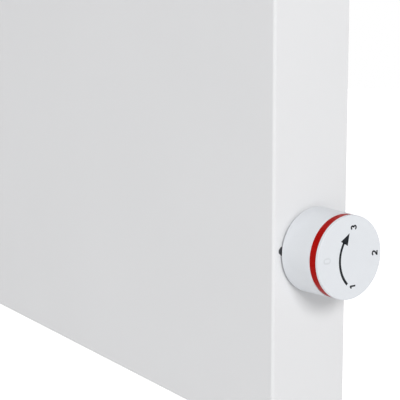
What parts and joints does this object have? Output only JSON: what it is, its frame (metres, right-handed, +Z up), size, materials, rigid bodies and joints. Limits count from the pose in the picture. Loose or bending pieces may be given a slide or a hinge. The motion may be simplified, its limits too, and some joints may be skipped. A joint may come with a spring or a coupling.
{
  "type": "baseboard heater",
  "caption": "Low wall-hung electric convector heater: folded white casing, air slots above and below, turning thermostat dial with a red ring on the right-hand end, rail for the wall behind.",
  "frame": {"origin": "middle of the wall rail's flat back face, which lies on the wall", "axes": "+Z up, +X along the heater towards the thermostat dial, +Y into the wall, so the front panel faces -Y"},
  "size_m": [0.8301, 0.076, 0.3],
  "materials": {
    "white_enamel": "satin white powder coat, very fine orange peel",
    "galvanised_steel": "galvanised sheet, faint spangle",
    "plated_steel": "zinc plated",
    "aluminium": "mill finish extrusion",
    "brass": "plain",
    "ceramic": "unglazed steatite",
    "white_plastic": "satin moulded plastic",
    "red_plastic": "semi-gloss moulded plastic",
    "nylon": "natural polyamide",
    "phenolic": "moulded phenolic",
    "rubber": "matt black",
    "brown_insulation": "silicone insulated wire",
    "black_insulation": "silicone insulated wire",
    "blue_insulation": "silicone insulated wire",
    "green_insulation": "silicone insulated wire, green and yellow"
  },
  "bodies": {
    "heater": {"front_casing": "white_enamel", "rear_panel": "galvanised_steel", "element_bracket_left": "galvanised_steel", "element_bracket_right": "galvanised_steel", "heat_shield": "galvanised_steel", "thermostat_frame": "galvanised_steel", "wall_rail": "galvanised_steel", "casing_screw_1": "plated_steel", "casing_screw_2": "plated_steel", "casing_screw_3": "plated_steel", "casing_screw_4": "plated_steel", "casing_screw_5": "plated_steel", "casing_screw_6": "plated_steel", "earth_screw": "plated_steel", "element_rod": "plated_steel", "element_pin_left": "plated_steel", "element_pin_right": "plated_steel", "thermostat_nut": "plated_steel", "heating_element": "aluminium", "thermostat_bush": "brass", "bimetal_strip": "brass", "thermostat_tab_in": "brass", "thermostat_tab_out": "brass", "terminal_screw_earth": "brass", "terminal_screw_neutral": "brass", "terminal_screw_live": "brass", "cutout_blade_left": "brass", "cutout_blade_right": "brass", "ceramic_bush_left": "ceramic", "ceramic_bush_right": "ceramic", "thermostat_insulator": "ceramic", "terminal_block": "nylon", "overheat_cutout": "phenolic", "cable_grommet": "rubber", "wall_spacer_left": "rubber", "wall_spacer_right": "rubber", "wire_live": "brown_insulation", "wire_switched": "black_insulation", "wire_feed": "black_insulation", "wire_return": "blue_insulation", "wire_earth": "green_insulation"},
    "dial": {"dial_body": "white_plastic", "dial_ring": "red_plastic", "dial_cap": "white_plastic", "dial_spindle": "plated_steel"},
    "pusher": {"pusher_pin": "ceramic"},
    "contact_arm": {"contact_arm": "brass"}
  },
  "joints": [
    {"name": "dial_turn", "type": "hinge", "parent": "heater", "child": "dial", "pos_m": [0.4, -0.0468, -0.115], "axis": [-1, 0, 0], "range_deg": [0, 262]},
    {"name": "pusher_slide", "type": "slide", "parent": "heater", "child": "pusher", "axis": [-1, 0, 0], "range_m": [0, 0.00073]},
    {"name": "contact_arm_tilt", "type": "hinge", "parent": "heater", "child": "contact_arm", "pos_m": [0.3844, -0.0468, -0.093], "axis": [0, 1, 0], "range_deg": [0, 1.9]}
  ],
  "couplings": [
    {"joint": "pusher_slide", "follows": "dial_turn", "m_per_rad": 0.00015915},
    {"joint": "contact_arm_tilt", "follows": "dial_turn", "ratio": 0.0072343}
  ]
}
